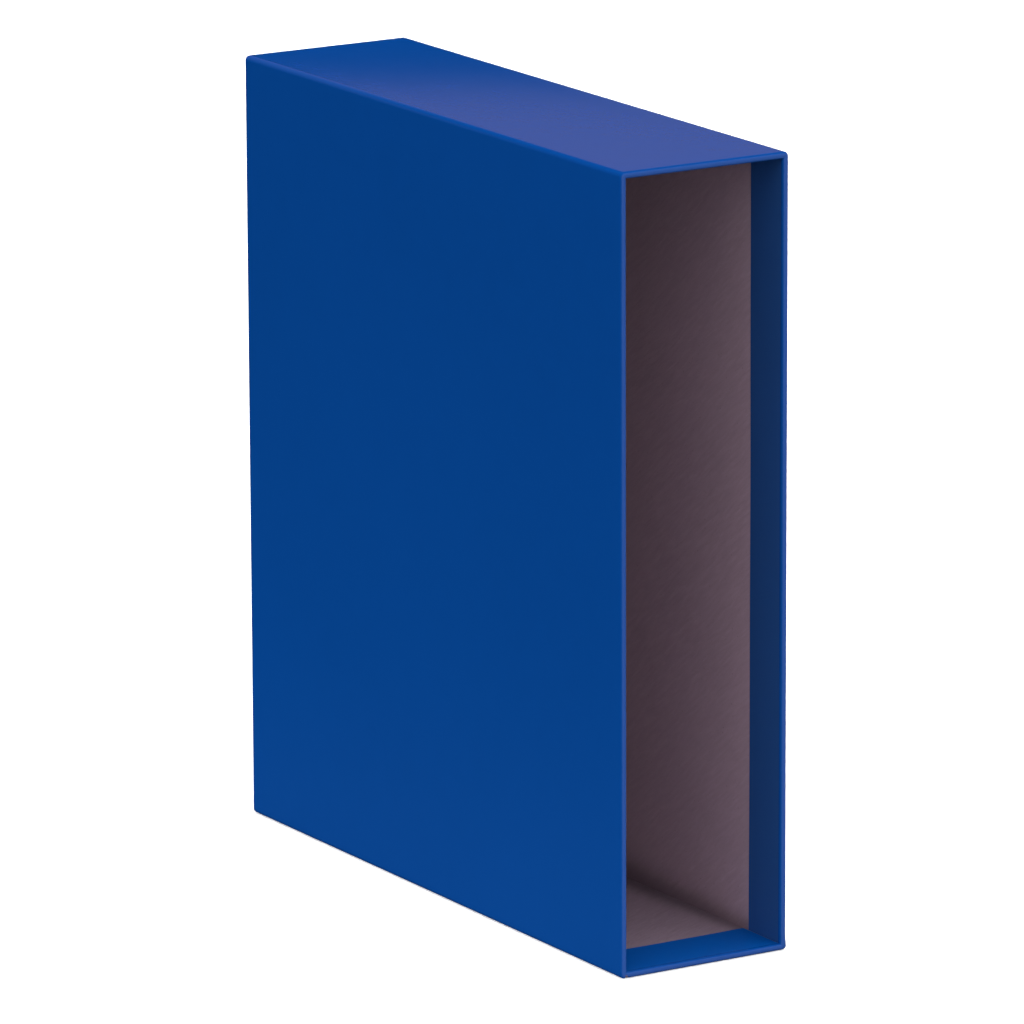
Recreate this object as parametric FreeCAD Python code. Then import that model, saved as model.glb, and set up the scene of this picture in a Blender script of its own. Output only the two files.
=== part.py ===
import FreeCAD, Part
import os

# Slipcase for one A4 lever-arch file: a stiff greyboard case, open at one narrow
# side (the mouth) and covered outside with one sheet of plastic-coated blue paper
# that turns in over the mouth's edges.  All sizes in millimetres.
#
# Frame: origin at the centre of the underside.  +Z up, -Y out of the mouth,
# +Y towards the closed back, X across the width.
#
# Build, from the inside out:
#   five greyboard panels, butt-jointed (the side boards run the full height, the
#   top, bottom and back boards sit between them),
#   eight paper tape stays pressed into the outside of the joints,
#   one cover sheet wrapped left - top - right - bottom, lapped under the case beside
#   the bottom-left edge, turned in at the mouth and turned over at the back,
#   one back sheet pasted over the turn-overs.

# ---- driving dimensions -------------------------------------------------------
OUT_W = 78.0        # outside width, X
OUT_D = 291.0       # outside depth, Y
OUT_H = 325.0       # outside height, Z
BOARD_T = 2.4       # greyboard
COVER_T = 0.20      # plastic-coated cover paper
STAY_T = 0.12       # gummed paper tape
GLUE_GAP = 0.04     # between the two layers of the cover's lap

LONG_R = 2.0        # outside radius of the four long edges
BACK_R = 1.3        # outside radius round the back
MOUTH_R_OUT = 1.25  # cover's outer radius over the mouth's edge, outside
MOUTH_R_IN = 1.10   # the same, on the cavity side
BOARD_MOUTH_R_OUT = 1.05
BOARD_MOUTH_R_IN = 0.90

TURN_IN = 23.0      # how far the cover turns into the mouth, at the sides and the top
TURN_IN_BOTTOM = 27.0   # and at the bottom
BACK_TURN = 15.0    # how far the cover turns over on to the back
BACK_MARGIN = 1.5   # back sheet's margin inside the back's outline
STAY_LEG = 14.0     # each leg of a corner stay
LAP = 15.0          # lap under the bottom, from the left face
SLIT = 0.10         # slit between neighbouring turn-ins
MITRE = 0.30        # gap between neighbouring turn-overs

NOTCH_W = 1.6       # nick where the wrapped edges meet at the mouth's lower left corner
NOTCH_H = 1.0
NOTCH_D = 2.2

# ---- derived ------------------------------------------------------------------
Y_MOUTH = -OUT_D / 2.0
Y_BACK = OUT_D / 2.0
Y_OVER = Y_BACK - COVER_T            # outer face of the turn-overs
Y_CORE = Y_OVER - COVER_T            # back face of the back board
Y_CORE_MOUTH = Y_MOUTH + COVER_T     # boards' mouth edge
HW = OUT_W / 2.0
CW = HW - COVER_T                    # half width of the boards' outside
IW = CW - BOARD_T                    # half width of the board cavity
LW = IW - COVER_T                    # half width between the turn-ins
Z0 = COVER_T                         # boards' underside
Z1 = OUT_H - COVER_T                 # boards' top
ZI0, ZI1 = Z0 + BOARD_T, Z1 - BOARD_T
ZL0, ZL1 = ZI0 + COVER_T, ZI1 - COVER_T
Y_BACK_IN = Y_CORE - BOARD_T         # back board's inner face
Y_TURN = Y_MOUTH + TURN_IN
Y_TURN_BOTTOM = Y_MOUTH + TURN_IN_BOTTOM
BIG = 400.0

V = FreeCAD.Vector


def box(x0, x1, y0, y1, z0, z1):
    return Part.makeBox(x1 - x0, y1 - y0, z1 - z0, V(x0, y0, z0))


def prism_y(points_xz, y0, y1):
    """Polygon in XZ, extruded from y0 to y1."""
    p = [V(x, y0, z) for x, z in points_xz]
    return Part.Face(Part.makePolygon(p + [p[0]])).extrude(V(0, y1 - y0, 0))


def prism_x(points_yz, x0, x1):
    p = [V(x0, y, z) for y, z in points_yz]
    return Part.Face(Part.makePolygon(p + [p[0]])).extrude(V(x1 - x0, 0, 0))


def only_solid(shape, name):
    """The one closed solid of a boolean's result."""
    shape = shape.removeSplitter()
    solids = [s for s in shape.Solids if s.Volume > 1e-3]
    if len(solids) != 1:
        raise RuntimeError("%s has %d solids: %s" % (name, len(solids), [round(s.Volume, 3) for s in solids]))
    s = solids[0]
    if not s.isValid():
        raise RuntimeError(name + " is not valid")
    return s


def near(a, b):
    return abs(a - b) < 1e-5


def rounded_block(hw, y0, y1, z0, z1, r_long, r_back, r_mouth):
    """A block with its long edges rounded first, then the loops round its two ends."""
    b = box(-hw, hw, y0, y1, z0, z1)
    long_edges = [e for e in b.Edges
                  if near(e.BoundBox.YLength, y1 - y0) and e.BoundBox.XLength < 1e-5 and e.BoundBox.ZLength < 1e-5]
    b = b.makeFillet(r_long, long_edges)
    for y, r in ((y1, r_back), (y0, r_mouth)):
        if r > 0:
            loop = [e for e in b.Edges if near(e.BoundBox.YMin, y) and near(e.BoundBox.YMax, y)]
            b = b.makeFillet(r, loop)
    return b


def flare_half(w, y_mouth, y_end, r, y_out):
    """Half profile (coordinate against y) of an opening that widens by a radius r at its mouth."""
    k = r * (1 - 2 ** -0.5)
    return [
        Part.LineSegment(V(w, y_end, 0), V(w, y_mouth + r, 0)),
        Part.Arc(V(w, y_mouth + r, 0), V(w + k, y_mouth + k, 0), V(w + r, y_mouth, 0)),
        Part.LineSegment(V(w + r, y_mouth, 0), V(w + r, y_out, 0)),
    ]


def flared_prism(lo, hi, y_mouth, y_end, r, y_out):
    """Closed profile between lo and hi, flaring outwards at both sides at the mouth, as a face in XY."""
    k = r * (1 - 2 ** -0.5)
    right = flare_half(hi, y_mouth, y_end, r, y_out)
    left = [
        Part.LineSegment(V(lo - r, y_out, 0), V(lo - r, y_mouth, 0)),
        Part.Arc(V(lo - r, y_mouth, 0), V(lo - k, y_mouth + k, 0), V(lo, y_mouth + r, 0)),
        Part.LineSegment(V(lo, y_mouth + r, 0), V(lo, y_end, 0)),
    ]
    join_out = [Part.LineSegment(V(hi + r, y_out, 0), V(lo - r, y_out, 0))]
    join_end = [Part.LineSegment(V(lo, y_end, 0), V(hi, y_end, 0))]
    edges = [g.toShape() for g in right + join_out + left + join_end]
    return Part.Face(Part.Wire(edges))


def cavity_tool(hw, z0, z1, y_mouth, y_end, r, y_out):
    """What is cut for the cavity: a square-cornered hole whose mouth flares by r on all four sides."""
    a = flared_prism(-hw, hw, y_mouth, y_end, r, y_out)
    a.translate(V(0, 0, -BIG))
    a = a.extrude(V(0, 0, 3 * BIG))
    b = flared_prism(z0, z1, y_mouth, y_end, r, y_out)
    # the profile's first axis becomes Z: turn about Y, so that X goes to Z
    b.rotate(V(0, 0, 0), V(0, 1, 0), -90)
    b.translate(V(-BIG, 0, 0))
    b = b.extrude(V(2 * BIG, 0, 0))
    return a.common(b)


# ---- the solid regions --------------------------------------------------------
# Where the lap lies: the first end of the sheet goes under the bottom board and the
# other end covers it, so the board is pressed in by one more layer of the sheet there.
X_TAN = -HW + LONG_R                 # where the rounded edge meets the flat underside
X_STEP = X_TAN + 0.6
X_LAP = -HW + LAP
Z_FLAP0 = COVER_T + GLUE_GAP
Z_FLAP1 = Z_FLAP0 + COVER_T


def lap_region(rise, x_end):
    """Between the boards' plain underside and the level pressed in by the lap."""
    return prism_y([(X_TAN, Z0 - 1.0), (X_TAN, Z0 + rise), (X_STEP, Z_FLAP1 + rise), (x_end, Z_FLAP1 + rise), (x_end, Z0 - 1.0)],
                   Y_MOUTH - 5, Y_BACK + 5)


def core(offset):
    """All that lies inside the cover, shrunk by offset."""
    o = offset
    b = rounded_block(CW - o, Y_CORE_MOUTH, Y_CORE - o, Z0 + o, Z1 - o, LONG_R - COVER_T - o, BACK_R - COVER_T - o,
                      BOARD_MOUTH_R_OUT)
    return b.cut(lap_region(o, X_LAP))


core_full = core(0.0)
core_less = core(STAY_T)
notch = prism_y([(X_TAN - 0.5 * NOTCH_W + 0.3, -1.0), (X_TAN - 0.5 * NOTCH_W + 0.3, 0.0), (X_TAN + 0.3, NOTCH_H),
                 (X_TAN + 0.5 * NOTCH_W + 0.3, 0.0), (X_TAN + 0.5 * NOTCH_W + 0.3, -1.0)],
                Y_MOUTH - 1.0, Y_MOUTH + NOTCH_D)

# ---- stays --------------------------------------------------------------------
skin = core_full.cut(core_less)
Y_S0 = Y_CORE_MOUTH + 3.0            # long stays stop short of the mouth's fold
Y_S1 = Y_CORE - STAY_LEG - 0.4       # and where the back stays begin
S = STAY_LEG
xl, xr, zb, zt = -CW + S, CW - S, Z0 + S, Z1 - S

stays = {
    "top_left_corner_stay": skin.common(box(-BIG, xl, Y_S0, Y_S1, zt, BIG)),
    "top_right_corner_stay": skin.common(box(xr, BIG, Y_S0, Y_S1, zt, BIG)),
    "bottom_left_corner_stay": skin.common(box(-BIG, xl, Y_S0, Y_S1, -BIG, zb)),
    "bottom_right_corner_stay": skin.common(box(xr, BIG, Y_S0, Y_S1, -BIG, zb)),
}
Y_B0 = Y_CORE - S
back_outer = box(-BIG, BIG, Y_B0, BIG, -BIG, BIG)
stays["back_left_edge_stay"] = skin.common(box(-BIG, xl, Y_B0, BIG, zb + 0.4, zt - 0.4))
stays["back_right_edge_stay"] = skin.common(box(xr, BIG, Y_B0, BIG, zb + 0.4, zt - 0.4))
stays["back_top_edge_stay"] = skin.common(box(-CW + LONG_R + 0.4, CW - LONG_R - 0.4, Y_B0, BIG, zt, BIG))
stays["back_bottom_edge_stay"] = skin.common(box(X_STEP + 0.2, CW - LONG_R - 0.4, Y_B0, BIG, -BIG, zb))
stays = {n: only_solid(s, n) for n, s in stays.items()}

# ---- boards -------------------------------------------------------------------
cavity = cavity_tool(IW, ZI0, ZI1, Y_CORE_MOUTH, Y_BACK_IN, BOARD_MOUTH_R_IN, Y_MOUTH - 5)
carcass = core_full.cut(cavity).cut(notch)
for s in stays.values():
    carcass = carcass.cut(s)

boards = {
    "left_side_board": carcass.common(box(-BIG, -IW, -BIG, BIG, -BIG, BIG)),
    "right_side_board": carcass.common(box(IW, BIG, -BIG, BIG, -BIG, BIG)),
    "top_board": carcass.common(box(-IW, IW, -BIG, BIG, ZI1, BIG)),
    "bottom_board": carcass.common(box(-IW, IW, -BIG, BIG, -BIG, ZI0)),
    "back_board": carcass.common(box(-IW, IW, Y_BACK_IN, BIG, ZI0, ZI1)),
}
boards = {n: only_solid(s, n) for n, s in boards.items()}

# ---- cover sheet --------------------------------------------------------------
outer = rounded_block(HW, Y_MOUTH, Y_OVER, 0.0, OUT_H, LONG_R, BACK_R, MOUTH_R_OUT)
lining = cavity_tool(LW, ZL0, ZL1, Y_MOUTH, Y_BACK_IN + 1.0, MOUTH_R_IN, Y_MOUTH - 5)

cover = outer.cut(core_full.cut(cavity))
cover = cover.cut(lining)
# nothing of the sheet behind the turn-ins; the bottom one is a little deeper than the others
behind = box(-IW - 0.5, IW + 0.5, Y_TURN, Y_CORE - 0.5, ZL0, ZI1 + 0.5)
behind = behind.fuse(box(-IW - 0.5, IW + 0.5, Y_TURN_BOTTOM, Y_CORE - 0.5, ZI0 - 0.5, ZL0))
for sx in (-1, 1):
    xs = sorted((sx * (LW - SLIT), sx * (IW + 0.5)))
    behind = behind.fuse(box(xs[0], xs[1], Y_TURN, Y_TURN_BOTTOM, ZI0 - 0.5, ZL0))
cover = cover.cut(behind.common(cavity))
# turn-overs only round the back's edges, mitred at the corners
cover = cover.cut(box(-HW + BACK_TURN, HW - BACK_TURN, Y_CORE - 0.05, BIG, BACK_TURN, OUT_H - BACK_TURN))
for sx in (-1, 1):
    for z_edge, sz in ((0.0, 1), (OUT_H, -1)):
        slot = Part.makeBox(30.0, 1.0, MITRE, V(1.2, -0.6, -MITRE / 2.0))
        slot.rotate(V(0, 0, 0), V(0, 1, 0), -45)
        if sx > 0:
            slot = slot.mirror(V(0, 0, 0), V(1, 0, 0))
        if sz < 0:
            slot = slot.mirror(V(0, 0, 0), V(0, 0, 1))
        slot.translate(V(sx * HW, Y_OVER, z_edge))
        slot = slot.common(box(-BIG, BIG, Y_CORE - 0.02, BIG, -BIG, BIG))
        cover = cover.cut(slot)
# slits between neighbouring turn-ins, from just behind the mouth's fold
for sx in (-1, 1):
    xs = sorted((sx * LW, sx * (LW - SLIT)))
    for z0, z1 in ((ZI0 - 0.3, ZL0 + 0.3), (ZL1 - 0.3, ZI1 + 0.3)):
        slit = box(xs[0], xs[1], Y_MOUTH + 1.2, Y_TURN_BOTTOM + 1, z0, z1)
        cover = cover.cut(slit.common(cavity))
# the lap under the bottom: the flap stops short of both ends, a glue line parts it from
# the outer layer, and the outer layer's edge leaves a narrow groove beside the corner
Y_F0, Y_F1 = Y_MOUTH + 1.2, Y_CORE - 1.2
glue = prism_y([(X_STEP - 0.02, COVER_T), (X_STEP - 0.02, Z_FLAP0), (X_LAP, Z_FLAP0), (X_LAP, COVER_T)], Y_F0, Y_F1)
groove = prism_y([(X_TAN, -1.0), (X_TAN, 0.0), (X_STEP, Z_FLAP0), (X_STEP + 0.08, Z_FLAP0), (X_STEP + 0.08, -1.0)], Y_F0, Y_F1)
cover = cover.cut(glue).cut(groove).cut(notch)
cover = only_solid(cover, "cover_wrap")

# ---- back sheet ---------------------------------------------------------------
# It bridges on to the turn-overs and is pressed down on to the board between them.
hx, zlo, zhi = HW - BACK_MARGIN, BACK_MARGIN, OUT_H - BACK_MARGIN
STEP = 0.35
sheet = box(-hx, hx, Y_OVER, Y_BACK, zlo, zhi)
wx, wz0, wz1 = HW - BACK_TURN - 0.15, BACK_TURN + 0.15, OUT_H - BACK_TURN - 0.15
sheet = sheet.fuse(box(-wx, wx, Y_CORE, Y_BACK, wz0, wz1))
sheet = sheet.cut(box(-wx + STEP, wx - STEP, Y_CORE + COVER_T, BIG, wz0 + STEP, wz1 - STEP))
back_sheet = only_solid(sheet, "back_cover_sheet")
corner_edges = [e for e in back_sheet.Edges
                if near(e.BoundBox.YLength, COVER_T) and e.BoundBox.XLength < 1e-5 and e.BoundBox.ZLength < 1e-5
                and near(abs(e.BoundBox.XMin), hx)]
back_sheet = only_solid(back_sheet.makeFillet(1.0, corner_edges), "back_cover_sheet")

# ---- write --------------------------------------------------------------------
parts = {}
parts.update(boards)
parts.update(stays)
parts["cover_wrap"] = cover
parts["back_cover_sheet"] = back_sheet

os.makedirs("parts", exist_ok=True)
for name, shape in sorted(parts.items()):
    shape.exportStep("parts/%s.step" % name)
    bb = shape.BoundBox
    print("%-26s vol %10.1f  x %.2f..%.2f  y %.2f..%.2f  z %.2f..%.2f  faces %d" % (
        name, shape.Volume, bb.XMin, bb.XMax, bb.YMin, bb.YMax, bb.ZMin, bb.ZMax, len(shape.Faces)))
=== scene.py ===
import math

import bmesh
import bpy
from mathutils import Matrix, Vector


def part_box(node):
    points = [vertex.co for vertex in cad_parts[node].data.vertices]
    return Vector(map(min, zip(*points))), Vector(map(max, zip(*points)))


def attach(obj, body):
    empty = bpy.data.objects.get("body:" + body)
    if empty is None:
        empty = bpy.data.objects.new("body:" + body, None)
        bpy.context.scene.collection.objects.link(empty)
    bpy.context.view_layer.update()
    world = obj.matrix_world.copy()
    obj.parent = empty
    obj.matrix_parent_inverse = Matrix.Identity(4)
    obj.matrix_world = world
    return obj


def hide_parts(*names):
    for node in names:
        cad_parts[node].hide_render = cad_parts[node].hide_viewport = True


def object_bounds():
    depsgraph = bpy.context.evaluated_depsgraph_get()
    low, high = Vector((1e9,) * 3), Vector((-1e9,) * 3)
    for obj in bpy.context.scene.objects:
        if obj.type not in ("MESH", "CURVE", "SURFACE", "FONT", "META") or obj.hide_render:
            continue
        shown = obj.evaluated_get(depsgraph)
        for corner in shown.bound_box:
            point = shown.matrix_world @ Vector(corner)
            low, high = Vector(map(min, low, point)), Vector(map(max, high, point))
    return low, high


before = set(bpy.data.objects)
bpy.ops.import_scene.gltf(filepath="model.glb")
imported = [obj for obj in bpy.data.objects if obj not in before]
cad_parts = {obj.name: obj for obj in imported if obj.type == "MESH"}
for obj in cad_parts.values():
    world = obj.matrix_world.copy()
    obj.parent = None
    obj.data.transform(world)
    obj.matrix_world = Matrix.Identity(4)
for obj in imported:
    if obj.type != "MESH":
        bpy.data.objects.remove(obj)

CAD_LOW, CAD_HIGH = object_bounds()
MM = 0.001

# ------------------------------------------------------------------ sizes, read from the frame
HW = (CAD_HIGH[0] - CAD_LOW[0]) / 2 / MM            # half width
H = (CAD_HIGH[2] - CAD_LOW[2]) / MM                 # height
Y_MOUTH = CAD_LOW[1] / MM                           # mouth's edge
Y_BACK = CAD_HIGH[1] / MM                           # back sheet's face
lo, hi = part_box("back_board")
IW = hi[0] / MM                                     # boards' inner half width
Y_CORE = hi[1] / MM                                 # boards' back face
lo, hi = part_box("cover_wrap")
Y_OVER = hi[1] / MM                                 # turn-overs' face
T = Y_OVER - Y_CORE                                 # the sheet's thickness
lo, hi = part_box("left_side_board")
BOARD = (hi[0] - lo[0]) / MM
WALL = BOARD + 2 * T                                # the whole wall at the mouth
LONG_R = 2.0
BACK_R = 1.3
R_OUT, R_IN = 1.25, 1.10                            # the fold over the mouth's edge
TURN_IN = 23.0
TURN_IN_BOTTOM = 27.0
BACK_TURN = 15.0
LAP = 15.0
GLUE = 0.04


def smooth(t):
    t = min(1.0, max(0.0, t))
    return t * t * (3 - 2 * t)


def lerp(a, b, t):
    return a + (b - a) * t


# ------------------------------------------------------------------ meshes
def make_object(name, verts, faces, body="root", sharp_deg=38.0, mats=(), face_mats=None):
    me = bpy.data.meshes.new(name)
    me.from_pydata([Vector(v) * MM for v in verts], [], faces)
    me.validate()
    bm = bmesh.new()
    bm.from_mesh(me)
    bmesh.ops.recalc_face_normals(bm, faces=bm.faces)
    bm.to_mesh(me)
    bm.free()
    for p in me.polygons:
        p.use_smooth = True
    if face_mats is not None:
        me.polygons.foreach_set("material_index", face_mats)
    me.set_sharp_from_angle(angle=math.radians(sharp_deg))
    ob = bpy.data.objects.new(name, me)
    bpy.context.scene.collection.objects.link(ob)
    for m in mats:
        ob.data.materials.append(m)
    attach(ob, body)
    return ob


def shell(front, back, cell):
    """A closed shell from two grids of points with the same layout; cell(i, j) says which quads exist."""
    nu, nv = len(front), len(front[0])
    verts, index = [], {}

    def vid(side, i, j):
        k = (side, i, j)
        if k not in index:
            index[k] = len(verts)
            verts.append((front if side == 0 else back)[i][j])
        return index[k]

    on = [[cell(i, j) for j in range(nv - 1)] for i in range(nu - 1)]
    faces, kinds, where = [], [], []
    for i in range(nu - 1):
        for j in range(nv - 1):
            if not on[i][j]:
                continue
            faces.append([vid(0, i, j), vid(0, i + 1, j), vid(0, i + 1, j + 1), vid(0, i, j + 1)])
            kinds.append(0)
            where.append((i, j))
            faces.append([vid(1, i, j), vid(1, i, j + 1), vid(1, i + 1, j + 1), vid(1, i + 1, j)])
            kinds.append(1)
            where.append((i, j))
            for di, dj, a, b in ((-1, 0, (i, j), (i, j + 1)), (1, 0, (i + 1, j + 1), (i + 1, j)),
                                 (0, -1, (i + 1, j), (i, j)), (0, 1, (i, j + 1), (i + 1, j + 1))):
                p, q = i + di, j + dj
                if 0 <= p < nu - 1 and 0 <= q < nv - 1 and on[p][q]:
                    continue
                faces.append([vid(0, *a), vid(0, *b), vid(1, *b), vid(1, *a)])
                kinds.append(2)
                where.append((i, j))
    return verts, faces, kinds, where


# ------------------------------------------------------------------ the wrapped cover sheet
# Along v the sheet runs from its cut edge inside the mouth, round the mouth's edge, along the
# outside and over on to the back.  Each station is (y, inset of the visible face, inset of the
# glued face, y of the glued face): inset 0 is the outside face, inset WALL the face of a turn-in.
def stations():
    s = []

    def add(tag, yf, inset_f, yb, inset_b):
        s.append((tag, yf, inset_f, yb, inset_b))

    y_end = Y_MOUTH + TURN_IN
    y_r = Y_MOUTH + R_IN
    for k, t in enumerate((0.0, 0.012, 0.04, 0.1, 0.2, 0.3, 0.4, 0.5, 0.6, 0.7, 0.8, 0.88, 0.94, 0.975)):
        y = lerp(y_end, y_r, t)
        add("turn_in", y, WALL, y, WALL - T)
    n = 7
    for k in range(n + 1):                          # inner half of the fold
        a = math.pi / 2 * k / n
        c, d = math.cos(a), math.sin(a)
        add("fold_in", y_r - R_IN * d, WALL - R_IN + R_IN * c, y_r - (R_IN - T) * d, WALL - R_IN + (R_IN - T) * c)
    m0, m1 = WALL - R_IN, R_OUT
    for t in (0.5,):
        add("fold", Y_MOUTH, lerp(m0, m1, t), Y_MOUTH + T, lerp(m0, m1, t))
    y_r = Y_MOUTH + R_OUT
    for k in range(n + 1):                          # outer half of the fold
        a = math.pi / 2 * (1 - k / n)
        c, d = math.cos(a), math.sin(a)
        add("fold_out", y_r - R_OUT * d, R_OUT - R_OUT * c, y_r - (R_OUT - T) * d, R_OUT - (R_OUT - T) * c)
    y_b = Y_OVER - BACK_R
    ys = [0.35, 0.9, 1.6, 2.6, 4.0, 6.0, 9.0]
    y = Y_MOUTH + R_OUT
    for dy in ys:
        add("out", y + dy, 0.0, y + dy, T)
    n_mid = 44
    for k in range(1, n_mid):
        yy = lerp(y + 9.0, y_b - 6.0, k / n_mid)
        add("out", yy, 0.0, yy, T)
    for dy in (6.0, 3.5, 2.0, 1.0, 0.4):
        add("out", y_b - dy, 0.0, y_b - dy, T)
    n = 7
    for k in range(n + 1):                          # round the back's edge
        a = math.pi / 2 * k / n
        c, d = math.cos(a), math.sin(a)
        add("back_fold", y_b + BACK_R * d, BACK_R - BACK_R * c, y_b + (BACK_R - T) * d, BACK_R - (BACK_R - T) * c)
    for t in (0.15, 0.4, 0.7, 0.9, 1.0):
        inset = lerp(BACK_R, BACK_TURN, t)
        add("turn_over", Y_OVER, inset, Y_CORE, inset)
    return s


ST = stations()
NV = len(ST)

ARC = 6


def frac_line(length, fine, coarse):
    """Knots from 0 to 1 along a side: fine steps at both ends, coarse ones between."""
    a = [0.0]
    for d in fine:
        a.append(d / length)
    n = max(2, int(round((length - 2 * fine[-1]) / coarse)))
    for k in range(1, n):
        a.append((fine[-1] + (length - 2 * fine[-1]) * k / n) / length)
    for d in reversed(fine):
        a.append(1 - d / length)
    a.append(1.0)
    return a


FINE = [0.3, 0.8, 1.6, 3.0, 5.0, 8.0]
K_SHORT = frac_line(2 * HW - 2 * LONG_R, FINE, 5.5)
K_LONG = frac_line(H - 2 * LONG_R, FINE, 6.5)

# u knots: (segment, t)
UK = [("bottom", t) for t in K_SHORT]
UK += [("arc_br", k / ARC) for k in range(1, ARC)]
UK += [("right", t) for t in K_LONG]
UK += [("arc_tr", k / ARC) for k in range(1, ARC)]
UK += [("top", t) for t in K_SHORT]
UK += [("arc_tl", k / ARC) for k in range(1, ARC)]
UK += [("left", t) for t in K_LONG]
UK += [("arc_bl", k / ARC) for k in range(1, ARC + 1)]
UK += [("flap", t) for t in (0.045, 0.09, 0.15, 0.3, 0.5, 0.75, 1.0)]
NU = len(UK)
X_STEP = -HW + LONG_R + 0.62
X_LAP = -HW + LAP


def wave(a, b, seed):
    """A fixed smooth unevenness of about -1 to 1 over a panel."""
    s = 0.0
    for k, (fa, fb, ph) in enumerate(((1.3, 0.7, 0.3), (0.6, 1.9, 1.7), (2.3, 1.4, 4.1), (3.1, 2.6, 2.2))):
        s += math.sin(2 * math.pi * (fa * a + fb * b) + ph + seed * 1.7) * (0.5 ** (k * 0.5)) * 0.45
    return s


def bow(seg, y, along):
    """How far a panel's face stands proud of its plane, in mm. along runs 0 to 1 over the panel's other side."""
    t = (y - Y_MOUTH) / (Y_OVER - Y_MOUTH)
    t = min(1.0, max(0.0, t))
    if seg in ("left", "right"):
        win = smooth(along / 0.05) * smooth((1 - along) / 0.05) * smooth(t / 0.035) * smooth((1 - t) / 0.05)
        body = 0.30 * math.sin(math.pi * along) ** 0.7 * math.sin(math.pi * min(1.0, t * 0.86 + 0.10)) ** 0.9
        return win * (body + 0.035 * wave(along, t, 0 if seg == "left" else 1) + 0.03)
    if seg == "top":
        win = smooth(along / 0.14) * smooth((1 - along) / 0.14) * smooth(t / 0.035) * smooth((1 - t) / 0.05)
        body = 0.10 * math.sin(math.pi * along) * math.sin(math.pi * min(1.0, t * 0.86 + 0.10))
        return win * (body + 0.02 * wave(along, t, 2) + 0.02)
    return 0.0


def corner_r(inset):
    """The loop's corner radius at an inset."""
    return max(LONG_R - inset, 0.06)


def perimeter(seg, t, inset, r, y, glued, tag):
    """Point (x, z) of the loop at that inset, for the visible or the glued face."""
    hw, z0, z1 = HW - inset, inset, H - inset
    inside = tag in ("turn_in", "fold_in", "fold")
    if seg == "bottom":
        x0 = -(hw - r) if inside and inset > WALL - 0.6 else lerp(X_STEP + 0.03, -(hw - r), smooth((inset - 0.9) / 1.0))
        # the free edge is snipped back at the mouth, which leaves the nick there
        near = smooth(1 - (y - Y_MOUTH - 0.2) / 2.4) if tag not in ("turn_in",) else 0.0
        snip = 0.55 * near * (1 - smooth((inset - 0.9) / 0.8))
        x0 += snip
        z = z0
        if snip > 0 and not inside:
            z += 0.35 * snip * smooth(1 - (t * 73.0) / 1.2)
        return lerp(x0, hw - r, t), z
    if seg == "right":
        return hw, lerp(z0 + r, z1 - r, t)
    if seg == "top":
        return lerp(hw - r, -(hw - r), t), z1
    if seg == "left":
        return -hw, lerp(z1 - r, z0 + r, t)
    if seg == "flap":
        zf = T + GLUE + inset
        if t < 0.05:
            return lerp(-(hw - r), X_STEP, t / 0.09), lerp(z0, zf, t / 0.09)
        if t < 0.0901:
            return X_STEP, zf
        return lerp(X_STEP, X_LAP, (t - 0.09) / 0.91), zf
    centre, a0 = {
        "arc_br": ((hw - r, z0 + r), -90.0),
        "arc_tr": ((hw - r, z1 - r), 0.0),
        "arc_tl": ((-(hw - r), z1 - r), 90.0),
        "arc_bl": ((-(hw - r), z0 + r), 180.0),
    }[seg]
    a = math.radians(a0 + 90.0 * t)
    return centre[0] + r * math.cos(a), centre[1] + r * math.sin(a)


def cover_point(i, j, glued):
    seg, t = UK[i]
    tag, yf, inf, yb, inb = ST[j]
    y, inset = (yb, inb) if glued else (yf, inf)
    if tag == "turn_in" and seg == "bottom":        # the bottom turn-in is a little deeper
        y += (TURN_IN_BOTTOM - TURN_IN) * (y - Y_MOUTH - R_IN) / (TURN_IN - R_IN)
    if tag == "turn_in" and j == 0:
        # the cut edge wanders a little
        along = {"right": t, "left": 1 - t, "top": t, "bottom": t}.get(seg, 0.5)
        n = {"right": 1, "left": 2, "top": 3, "bottom": 4}.get(seg, 0)
        y += 0.16 * math.sin(along * 5.1 + n * 2.0) + 0.07 * math.sin(along * 17.0 + n)
    r_vis = corner_r(inf)
    r = r_vis
    if glued:
        if tag in ("turn_in", "fold_in", "fold"):
            r = r_vis + T * 0.5
        else:
            r = max(r_vis - T, 0.1)
    x, z = perimeter(seg, t, inset, r, y, glued, tag)
    if tag in ("out", "fold_out", "fold") and seg in ("arc_br", "right"):
        x += 0.55 * smooth(1 - z / 6.0) * smooth(1 - (y - Y_MOUTH) / 6.0) * (1 - smooth((inset - 0.6) / 1.4))
    if tag == "out":
        d = bow(seg, y, t)
        if seg == "left":
            x -= d
        elif seg == "right":
            x += d
        elif seg == "top":
            z += d
    return (x, y, z)


def cover_cell(i, j):
    seg = UK[i][0]
    nxt = UK[i + 1][0]
    tag = ST[j][0]
    tag2 = ST[j + 1][0]
    # slits between the turn-ins, and between the turn-overs
    arc = seg.startswith("arc") or nxt.startswith("arc")
    if tag == "turn_in" and j < SLIT_END and arc:
        return False
    if tag2 == "turn_over" and tag == "turn_over" and arc:
        return False
    # the end of the wrap, under the lap
    if seg == "flap" or nxt == "flap":
        return tag == "out" and tag2 == "out" and ST[j][1] > Y_MOUTH + 1.7 and ST[j + 1][1] < Y_OVER - BACK_R - 0.3
    return True


SLIT_END = max(j for j in range(NV) if ST[j][0] == "turn_in")
front = [[cover_point(i, j, False) for j in range(NV)] for i in range(NU)]
glued = [[cover_point(i, j, True) for j in range(NV)] for i in range(NU)]
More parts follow.
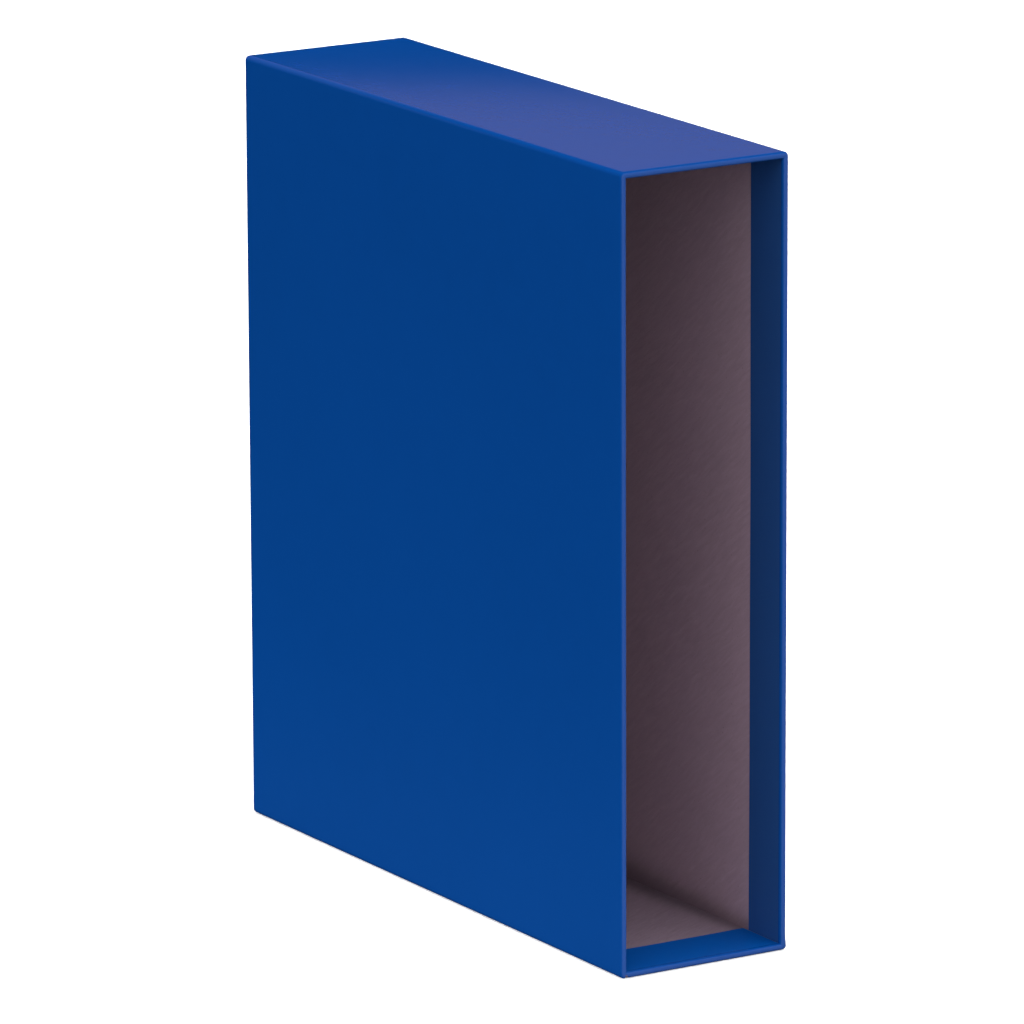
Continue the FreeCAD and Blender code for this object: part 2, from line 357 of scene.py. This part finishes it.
# turn-overs are mitred: each one narrows towards its cut edge
for i in range(NU):
    seg, t = UK[i]
    for j in range(NV):
        if ST[j][0] != "turn_over":
            continue
        inset = ST[j][2]
        gap = 0.3 * smooth((inset - BACK_R) / 1.5)
        for grid in (front, glued):
            x, y, z = grid[i][j]
            if seg in ("bottom", "top"):
                lim = HW - inset - gap
                x = max(-lim, min(lim, x * lim / max(HW - inset - corner_r(inset), 1.0)))
            elif seg in ("left", "right"):
                mid = H / 2
                lim = H / 2 - inset - gap
                z = mid + max(-lim, min(lim, (z - mid) * lim / max(H / 2 - inset - corner_r(inset), 1.0)))
            grid[i][j] = (x, y, z)
cover_v, cover_f, cover_k, cover_w = shell(front, glued, cover_cell)

# ------------------------------------------------------------------ the back sheet


def knots(lo_, hi_, marks, coarse, fine):
    """Sorted knots from lo_ to hi_: coarse steps, with finer ones at the offsets in fine round each mark."""
    s = {lo_, hi_}
    n = int(round((hi_ - lo_) / coarse))
    for k in range(1, n):
        v = lo_ + (hi_ - lo_) * k / n
        if all(abs(v - m) > 1.6 for m in marks) and v - lo_ > 1.6 and hi_ - v > 1.6:
            s.add(v)
    for m in marks:
        for d in fine:
            s.add(m + d)
    for d in (0.25, 0.5, 0.75, 1.0, 1.5):
        s.add(lo_ + d)
        s.add(hi_ - d)
    return sorted(s)


BX, BZ0, BZ1 = HW - 1.5, 1.5, H - 1.5
WX = HW - BACK_TURN
STEP_FINE = (-0.9, -0.6, -0.35, -0.15, 0.0, 0.2, 0.45)
kx = knots(-BX, BX, (-WX, WX), 5.0, [-d for d in STEP_FINE] + list(STEP_FINE))
kz = knots(BZ0, BZ1, (BACK_TURN, H - BACK_TURN), 6.0, [-d for d in STEP_FINE] + list(STEP_FINE))


def in_window(x, z):
    """How deep a point lies inside the turn-overs' window, in mm; negative over a turn-over."""
    return min(WX - abs(x), z - BACK_TURN, H - BACK_TURN - z)


def mitre_line(x, z):
    """Distance from the gap between two neighbouring turn-overs."""
    dx = HW - abs(x)
    dz = min(z, H - z)
    if dx > BACK_TURN + 0.5 or dz > BACK_TURN + 0.5:
        return 9.0
    return abs(dx - dz) / math.sqrt(2)


def back_point(x, z, glued):
    r = 1.0
    ax, az = abs(x) - (BX - r), (BZ0 + r - z) if z < H / 2 else (z - (BZ1 - r))
    if ax > 0 and az > 0:                           # rounded corners
        a, b = ax / r, az / r
        x = math.copysign(BX - r + r * a * math.sqrt(1 - b * b / 2), x)
        zz = r * b * math.sqrt(1 - a * a / 2)
        z = BZ0 + r - zz if z < H / 2 else BZ1 - r + zz
    d = in_window(x, z)
    drop = T * smooth(d / 0.9 + 0.15)
    drop += 0.06 * (1 - smooth(mitre_line(x, z) / 0.5))
    w = 0.02 * wave((x + HW) / (2 * HW), z / H, 5) * smooth(in_window(x, z) / 20.0)
    if glued:
        return (x, Y_OVER - (T if d > 0.15 else 0.0) * 1.0, z)
    return (x, Y_BACK - drop + w, z)


bfront = [[back_point(x, z, False) for z in kz] for x in kx]
bglued = [[back_point(x, z, True) for z in kz] for x in kx]
back_v, back_f, back_k, _ = shell(bfront, bglued, lambda i, j: True)


# ------------------------------------------------------------------ materials
def new_material(name):
    m = bpy.data.materials.new(name)
    m.use_nodes = True
    m.node_tree.nodes.clear()
    return m, m.node_tree.nodes, m.node_tree.links


def node(nodes, kind, **props):
    n = nodes.new(kind)
    for k, v in props.items():
        if k in n.inputs:
            n.inputs[k].default_value = v
        else:
            setattr(n, k, v)
    return n


def noise(nodes, links, vector, scale, detail=3.0, rough=0.55, distortion=0.0):
    n = nodes.new("ShaderNodeTexNoise")
    n.inputs["Scale"].default_value = scale
    n.inputs["Detail"].default_value = detail
    n.inputs["Roughness"].default_value = rough
    n.inputs["Distortion"].default_value = distortion
    links.new(vector, n.inputs["Vector"])
    return n.outputs["Fac"]


def ramp(nodes, links, fac, stops):
    r = nodes.new("ShaderNodeValToRGB")
    e = r.color_ramp.elements
    e[0].position, e[0].color = stops[0][0], (*stops[0][1], 1)
    e[1].position, e[1].color = stops[-1][0], (*stops[-1][1], 1)
    for p, c in stops[1:-1]:
        x = e.new(p)
        x.color = (*c, 1)
    links.new(fac, r.inputs["Fac"])
    return r.outputs["Color"]


def remap(nodes, links, fac, a0, a1, b0, b1):
    m = nodes.new("ShaderNodeMapRange")
    m.inputs["From Min"].default_value = a0
    m.inputs["From Max"].default_value = a1
    m.inputs["To Min"].default_value = b0
    m.inputs["To Max"].default_value = b1
    links.new(fac, m.inputs["Value"])
    return m.outputs["Result"]


def math_node(nodes, links, op, a, b):
    m = nodes.new("ShaderNodeMath")
    m.operation = op
    for k, v in ((0, a), (1, b)):
        if isinstance(v, (int, float)):
            m.inputs[k].default_value = v
        else:
            links.new(v, m.inputs[k])
    return m.outputs[0]


def mix_color(nodes, links, fac, a, b, blend="MIX"):
    m = nodes.new("ShaderNodeMix")
    m.data_type = "RGBA"
    m.blend_type = blend
    for sock, v in ((m.inputs[0], fac), (m.inputs[6], a), (m.inputs[7], b)):
        if isinstance(v, (int, float)):
            sock.default_value = v
        elif isinstance(v, tuple):
            sock.default_value = (*v, 1)
        else:
            links.new(v, sock)
    return m.outputs[2]


def stretched(nodes, links, coords, along, scale_along, scale_across):
    """Coordinates squeezed along a direction, for streaks."""
    d = Vector(along).normalized()
    e1 = d.orthogonal().normalized()
    e2 = d.cross(e1)
    parts = []
    for v, s in ((e1, scale_across), (e2, scale_across), (d, scale_along)):
        dot = nodes.new("ShaderNodeVectorMath")
        dot.operation = "DOT_PRODUCT"
        dot.inputs[1].default_value = v * s
        links.new(coords, dot.inputs[0])
        parts.append(dot.outputs["Value"])
    c = nodes.new("ShaderNodeCombineXYZ")
    for k in range(3):
        links.new(parts[k], c.inputs[k])
    return c.outputs["Vector"]


def finish_material(nodes, links, color, rough, height, strength, distance, specular, **extra):
    bsdf = nodes.new("ShaderNodeBsdfPrincipled")
    out = nodes.new("ShaderNodeOutputMaterial")
    bsdf.inputs["Specular IOR Level"].default_value = specular
    for k, v in extra.items():
        bsdf.inputs[k.replace("_", " ")].default_value = v
    links.new(color, bsdf.inputs["Base Color"])
    links.new(rough, bsdf.inputs["Roughness"])
    bump = nodes.new("ShaderNodeBump")
    bump.inputs["Strength"].default_value = strength
    bump.inputs["Distance"].default_value = distance
    links.new(height, bump.inputs["Height"])
    links.new(bump.outputs["Normal"], bsdf.inputs["Normal"])
    links.new(bsdf.outputs["BSDF"], out.inputs["Surface"])
    return bsdf


BLUE = (0.0020, 0.055, 0.266)
# RIDGE is the paler blue of the mouth's fold: partly wear, partly a painted highlight
RIDGE = (0.026, 0.082, 0.315)
RIDGE_FROM, RIDGE_TO = 0.06, 0.40                   # mm behind the mouth's plane


def blue_material(name="blue_coated_paper", base=BLUE, rough0=0.175, ridge=True, specular=0.12):
    m, nodes, links = new_material(name)
    co = nodes.new("ShaderNodeTexCoord").outputs["Object"]
    broad = noise(nodes, links, co, 5.0, 2.0, 0.5)
    cloud = noise(nodes, links, co, 85.0, 4.0, 0.6)
    peel = noise(nodes, links, co, 1500.0, 3.0, 0.6)
    fibre = noise(nodes, links, stretched(nodes, links, co, (0.0, 1.0, 0.12), 160.0, 900.0), 1.0, 3.0, 0.6)
    color = ramp(nodes, links, broad, [(0.32, tuple(c * 0.975 for c in base)), (0.68, tuple(c * 1.025 for c in base))])
    color = mix_color(nodes, links, remap(nodes, links, cloud, 0.35, 0.75, 0.0, 0.35), color,
                      tuple(c * 1.06 + 0.0002 for c in base))
    speck = noise(nodes, links, co, 2600.0, 2.0, 0.5)
    color = mix_color(nodes, links, remap(nodes, links, speck, 0.62, 0.78, 0.0, 0.08), color,
                      tuple(min(1.0, c * 1.4 + 0.002) for c in base))
    if ridge:
        # a paler band on the mouth's fold, partly wear of the coating and partly a painted highlight; the rest of the
        # fold's shine comes from front_left_soft
        xyz = nodes.new("ShaderNodeSeparateXYZ")
        links.new(co, xyz.inputs[0])
        near = math_node(nodes, links, "SUBTRACT", xyz.outputs["Y"], Y_MOUTH * MM)
        wander = math_node(nodes, links, "SUBTRACT", noise(nodes, links, co, 900.0, 3.0, 0.6), 0.5)
        near = math_node(nodes, links, "ADD", near, math_node(nodes, links, "MULTIPLY", wander, 0.00022))
        fold_wear_and_highlight = nodes.new("ShaderNodeMapRange")
        fold_wear_and_highlight.interpolation_type = "SMOOTHSTEP"
        fold_wear_and_highlight.inputs["From Min"].default_value = RIDGE_FROM * MM
        fold_wear_and_highlight.inputs["From Max"].default_value = RIDGE_TO * MM
        fold_wear_and_highlight.inputs["To Min"].default_value = 1.0
        fold_wear_and_highlight.inputs["To Max"].default_value = 0.0
        links.new(near, fold_wear_and_highlight.inputs["Value"])
        color = mix_color(nodes, links, fold_wear_and_highlight.outputs["Result"], color, RIDGE)
    rough = math_node(nodes, links, "ADD",
                      remap(nodes, links, cloud, 0.25, 0.75, rough0 - 0.012, rough0 + 0.012),
                      remap(nodes, links, fibre, 0.3, 0.7, -0.012, 0.012))
    height = math_node(nodes, links, "ADD", math_node(nodes, links, "MULTIPLY", peel, 0.6),
                       math_node(nodes, links, "MULTIPLY", fibre, 0.5))
    finish_material(nodes, links, color, rough, height, 0.12, 0.00003, specular)
    return m


def joint_shade(nodes, links, co):
    """Shade along the cavity's inner edges, put into the board's colour and fixed to the object: 0 to 1."""
    xyz = nodes.new("ShaderNodeSeparateXYZ")
    links.new(co, xyz.inputs[0])
    x, y, z = (xyz.outputs[k] for k in "XYZ")

    def op(kind, a, b=0.0):
        return math_node(nodes, links, kind, a, b)

    # distances to the side, floor or ceiling, and back planes; the middle one is the nearest edge's
    dx = op("ABSOLUTE", op("SUBTRACT", IW * MM, op("ABSOLUTE", x)))
    dz = op("ABSOLUTE", op("SUBTRACT", (H / 2 - BOARD - T) * MM, op("ABSOLUTE", op("SUBTRACT", z, H / 2 * MM))))
    dy = op("ABSOLUTE", op("SUBTRACT", (Y_CORE - BOARD) * MM, y))
    d = op("MAXIMUM", op("MINIMUM", dx, dz), op("MINIMUM", op("MAXIMUM", dx, dz), dy))
    deep = remap(nodes, links, y, (Y_MOUTH + 20.0) * MM, (Y_MOUTH + 130.0) * MM, 0.0, 1.0)
    reach = remap(nodes, links, deep, 0.0, 1.0, 0.0050, 0.0100)
    wander = op("ADD", 0.85, op("MULTIPLY", noise(nodes, links, co, 60.0, 3.0, 0.6), 0.3))
    rel = op("DIVIDE", d, op("MULTIPLY", reach, wander))
    fall = op("POWER", 2.718, op("MULTIPLY", op("MULTIPLY", rel, rel), -1.0))
    return op("MULTIPLY", fall, remap(nodes, links, deep, 0.0, 1.0, 0.60, 0.86))


def greyboard_material(name, along, tint=(1.0, 1.0, 1.0)):
    m, nodes, links = new_material(name)
    co = nodes.new("ShaderNodeTexCoord").outputs["Object"]
    base = tuple(c * t for c, t in zip((0.325, 0.228, 0.284), tint))
    streak = noise(nodes, links, stretched(nodes, links, co, along, 95.0, 560.0), 1.0, 4.0, 0.62, 0.35)
    hair = noise(nodes, links, stretched(nodes, links, co, along, 190.0, 1900.0), 1.0, 3.0, 0.6, 0.4)
    broad = noise(nodes, links, co, 14.0, 3.0, 0.55)
    grain = noise(nodes, links, co, 1300.0, 3.0, 0.6)
    c = ramp(nodes, links, streak, [(0.28, tuple(v * 0.90 for v in base)), (0.52, base), (0.76, tuple(v * 1.13 for v in base))])
    c = mix_color(nodes, links, remap(nodes, links, hair, 0.58, 0.76, 0.0, 0.30), c, tuple(min(1, v * 1.45 + 0.01) for v in base))
    c = mix_color(nodes, links, remap(nodes, links, grain, 0.60, 0.80, 0.0, 0.5), c, tuple(v * 0.62 for v in base))
    c = mix_color(nodes, links, remap(nodes, links, broad, 0.30, 0.70, 0.0, 0.35), c, tuple(v * 1.16 for v in base))
    # sparse coloured flecks, as recycled board has
    vor = nodes.new("ShaderNodeTexVoronoi")
    vor.inputs["Scale"].default_value = 230.0
    vor.inputs["Randomness"].default_value = 1.0
    links.new(co, vor.inputs["Vector"])
    fleck = remap(nodes, links, vor.outputs["Distance"], 0.04, 0.09, 0.40, 0.0)
    c = mix_color(nodes, links, fleck, c, tuple(v * 0.45 for v in base))
    c = mix_color(nodes, links, joint_shade(nodes, links, co), c, tuple(v * 0.30 for v in base))
    rough = remap(nodes, links, grain, 0.2, 0.8, 0.86, 0.97)
    height = math_node(nodes, links, "ADD",
                       math_node(nodes, links, "MULTIPLY", streak, 0.55),
                       math_node(nodes, links, "ADD", math_node(nodes, links, "MULTIPLY", grain, 0.35),
                                 math_node(nodes, links, "MULTIPLY", hair, 0.35)))
    finish_material(nodes, links, c, rough, height, 0.9, 0.00022, 0.18)
    return m


def tape_material():
    m, nodes, links = new_material("brown_gummed_tape")
    co = nodes.new("ShaderNodeTexCoord").outputs["Object"]
    base = (0.235, 0.125, 0.055)
    fibre = noise(nodes, links, stretched(nodes, links, co, (0.1, 1.0, 0.2), 140.0, 1500.0), 1.0, 4.0, 0.65)
    grain = noise(nodes, links, co, 1700.0, 3.0, 0.6)
    broad = noise(nodes, links, co, 22.0, 2.0, 0.5)
    c = ramp(nodes, links, fibre, [(0.32, tuple(v * 0.82 for v in base)), (0.70, tuple(v * 1.22 for v in base))])
    c = mix_color(nodes, links, remap(nodes, links, grain, 0.58, 0.78, 0.0, 0.45), c, tuple(v * 0.6 for v in base))
    c = mix_color(nodes, links, remap(nodes, links, broad, 0.3, 0.7, 0.0, 0.3), c, tuple(v * 1.15 for v in base))
    rough = remap(nodes, links, grain, 0.2, 0.8, 0.62, 0.82)
    height = math_node(nodes, links, "ADD", math_node(nodes, links, "MULTIPLY", fibre, 0.7),
                       math_node(nodes, links, "MULTIPLY", grain, 0.4))
    finish_material(nodes, links, c, rough, height, 0.5, 0.00006, 0.35)
    return m


def floor_material():
    m, nodes, links = new_material("pale_floor")
    co = nodes.new("ShaderNodeTexCoord").outputs["Object"]
    soft = noise(nodes, links, co, 1.3, 2.0, 0.5)
    c = ramp(nodes, links, soft, [(0.3, (0.955, 0.955, 0.958)), (0.7, (0.965, 0.965, 0.966))])
    rough = remap(nodes, links, soft, 0.3, 0.7, 0.9, 0.95)
    height = noise(nodes, links, co, 300.0, 2.0, 0.5)
    bsdf = finish_material(nodes, links, c, rough, height, 0.02, 0.0001, 0.0)
    bsdf.inputs["Emission Color"].default_value = (1.0, 1.0, 1.0, 1)
    bsdf.inputs["Emission Strength"].default_value = 0.35   # a lit table
    return m


M_BLUE = blue_material()
# the turn-ins are the same blue paper as the outside, coloured with painted light: the side and top turn-ins darker and
# greyer, painted shade with a faint painted sheen; the bottom turn-in brighter, painted light
M_TURN_PAINTED_SHADE = blue_material("blue_turn_in_painted_shade", (0.0150, 0.060, 0.212), 0.5, True, 0.03)
M_TURN_LOW_PAINTED_LIGHT = blue_material("blue_turn_in_low_painted_light", (0.0012, 0.076, 0.350), 0.5, True, 0.02)
M_PASTE = blue_material("blue_paper_core", tuple(c * 0.8 + 0.002 for c in BLUE), 0.75, False)
M_WALL_L = greyboard_material("greyboard_left", (0.0, 0.80, 0.60))
M_WALL_R = greyboard_material("greyboard_right", (0.0, -0.80, 0.60))
# the top and bottom boards are the same greyboard as the walls, darkened by the tint as painted shade
M_FLAT_PAINTED_SHADE = greyboard_material("greyboard_floor_painted_shade", (0.85, 0.50, 0.0), (0.80, 0.84, 0.85))
M_BACK = greyboard_material("greyboard_back", (0.80, 0.0, 0.60))
M_TAPE = tape_material()



def cover_mat(kind, at):
    if kind != 0:
        return 1
    i, j = at
    if ST[j][0] != "turn_in" or ST[j + 1][0] != "turn_in":
        return 0
    return 3 if UK[i][0] == "bottom" and UK[i + 1][0] == "bottom" else 2


cover = make_object("wrapped_blue_cover", cover_v, cover_f, sharp_deg=42.0,
                    mats=(M_BLUE, M_PASTE, M_TURN_PAINTED_SHADE, M_TURN_LOW_PAINTED_LIGHT),
                    face_mats=[cover_mat(k, at) for k, at in zip(cover_k, cover_w)])
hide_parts("cover_wrap")
backsheet = make_object("pasted_back_sheet", back_v, back_f, sharp_deg=42.0, mats=(M_BLUE, M_PASTE),
                        face_mats=[0 if k == 0 else 1 for k in back_k])
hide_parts("back_cover_sheet")

for name, mat in (("left_side_board", M_WALL_L), ("right_side_board", M_WALL_R), ("top_board", M_FLAT_PAINTED_SHADE),
                  ("bottom_board", M_FLAT_PAINTED_SHADE), ("back_board", M_BACK)):
    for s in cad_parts[name].material_slots:
        s.material = mat
for name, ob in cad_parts.items():
    if name.endswith("_stay"):
        for s in ob.material_slots:
            s.material = M_TAPE

# ------------------------------------------------------------------ floor
me = bpy.data.meshes.new("studio_floor")
bm = bmesh.new()
bmesh.ops.create_grid(bm, x_segments=24, y_segments=24, size=14.0)
bm.to_mesh(me)
bm.free()
floor = bpy.data.objects.new("studio_floor", me)
floor.location = (0, 0, CAD_LOW[2] - 0.0001)
bpy.context.scene.collection.objects.link(floor)
floor.data.materials.append(floor_material())
# The floor is seen, and takes the case's faint contact shadow, but throws no light back and blocks
# none: dome_down and bounce_left stand for what a white floor would reflect on to the case.
floor.visible_glossy = False
floor.visible_diffuse = False
floor.visible_shadow = False

# ------------------------------------------------------------------ camera
AZ, EL, ROLL = math.radians(-31.64), math.radians(13.68), math.radians(-0.22)
DIST, TX, TZ, F_PX = 3.5502, 0.00065, -0.00706, 8731.3
mid = Vector((0, 0, (CAD_LOW[2] + CAD_HIGH[2]) / 2))
back = Vector((math.sin(AZ) * math.cos(EL), -math.cos(AZ) * math.cos(EL), math.sin(EL)))
right = (-back).cross(Vector((0, 0, 1))).normalized()
up = right.cross(-back)
R = math.cos(ROLL) * right + math.sin(ROLL) * up
U = -math.sin(ROLL) * right + math.cos(ROLL) * up
cam_data = bpy.data.cameras.new("camera")
cam_data.sensor_width = 36.0
cam_data.lens = F_PX / 1024.0 * 36.0
cam_data.clip_start = 0.05
cam_data.clip_end = 100.0
cam = bpy.data.objects.new("camera", cam_data)
rot = Matrix((R, U, back)).transposed().to_4x4()
cam.matrix_world = Matrix.Translation(mid + back * DIST + TX * R + TZ * U) @ rot
bpy.context.scene.collection.objects.link(cam)
bpy.context.scene.camera = cam


# ------------------------------------------------------------------ light
def area(name, place, aim, size, power, color=(1, 1, 1), spread=180.0):
    d = bpy.data.lights.new(name, "AREA")
    d.shape = "RECTANGLE"
    d.size, d.size_y = size
    d.energy = power
    d.color = color
    d.spread = math.radians(spread)
    o = bpy.data.objects.new(name, d)
    o.location = place
    o.rotation_euler = (Vector(aim) - Vector(place)).to_track_quat("-Z", "Y").to_euler()
    o.visible_camera = False
    bpy.context.scene.collection.objects.link(o)
    return o


def dome(name, strength, up):
    """Even light from the whole half space above or below."""
    d = bpy.data.lights.new(name, "SUN")
    d.energy = strength * math.pi
    d.angle = math.pi
    d.cycles.use_multiple_importance_sampling = False
    o = bpy.data.objects.new(name, d)
    o.rotation_euler = (0.0 if up else math.pi, 0.0, 0.0)
    o.location = (0.0, 0.0, 2.0 if up else -2.0)
    o.visible_glossy = False
    bpy.context.scene.collection.objects.link(o)
    return o


world = bpy.data.worlds.new("studio")
bpy.context.scene.world = world
world.use_nodes = True
world.cycles.sampling_method = "NONE"
wn, wl = world.node_tree.nodes, world.node_tree.links
wn.clear()
path = wn.new("ShaderNodeLightPath")
dim = wn.new("ShaderNodeBackground")
dim.inputs["Color"].default_value = (1, 1, 1, 1)
dim.inputs["Strength"].default_value = 0.0
white = wn.new("ShaderNodeBackground")
white.inputs["Color"].default_value = (1, 1, 1, 1)
white.inputs["Strength"].default_value = 1.0
mix1 = wn.new("ShaderNodeMixShader")
wout = wn.new("ShaderNodeOutputWorld")
wl.new(path.outputs["Is Camera Ray"], mix1.inputs[0])
wl.new(dim.outputs[0], mix1.inputs[1])
wl.new(white.outputs[0], mix1.inputs[2])
wl.new(mix1.outputs[0], wout.inputs[0])

VIEW = Vector((-math.sin(AZ), math.cos(AZ), 0.0))       # level direction away from the viewer
dome_up = dome("dome_up", 1.52, True)
dome_down = dome("dome_down", 0.10, False)
front_left = area("front_left_soft", (-0.75, -2.4, 0.30), (0.02, -0.1, 0.16), (0.8, 0.8), 11.0)
# light thrown back by the white floor beside the left face; it lies just under the floor
bounce_left = area("bounce_left", (-HW * MM - 0.085, 0.0, -0.012), (-HW * MM - 0.085, 0.0, 1.0), (0.15, 0.60), 0.15)
bounce_left.visible_glossy = False
# a low soft box behind the case, for the sheen on the top
behind = area("behind_soft", tuple(VIEW * 0.215 + Vector((0, 0, 0.362 + 0.055))), tuple(VIEW * -0.6 + Vector((0, 0, 0.362 + 0.055))),
              (1.2, 0.11), 0.108, (1.0, 0.64, 0.76))

scene = bpy.context.scene
scene.view_settings.view_transform = "Standard"
scene.view_settings.look = "None"

# ------------------------------------------------------------------ update the scene
bpy.context.view_layer.update()
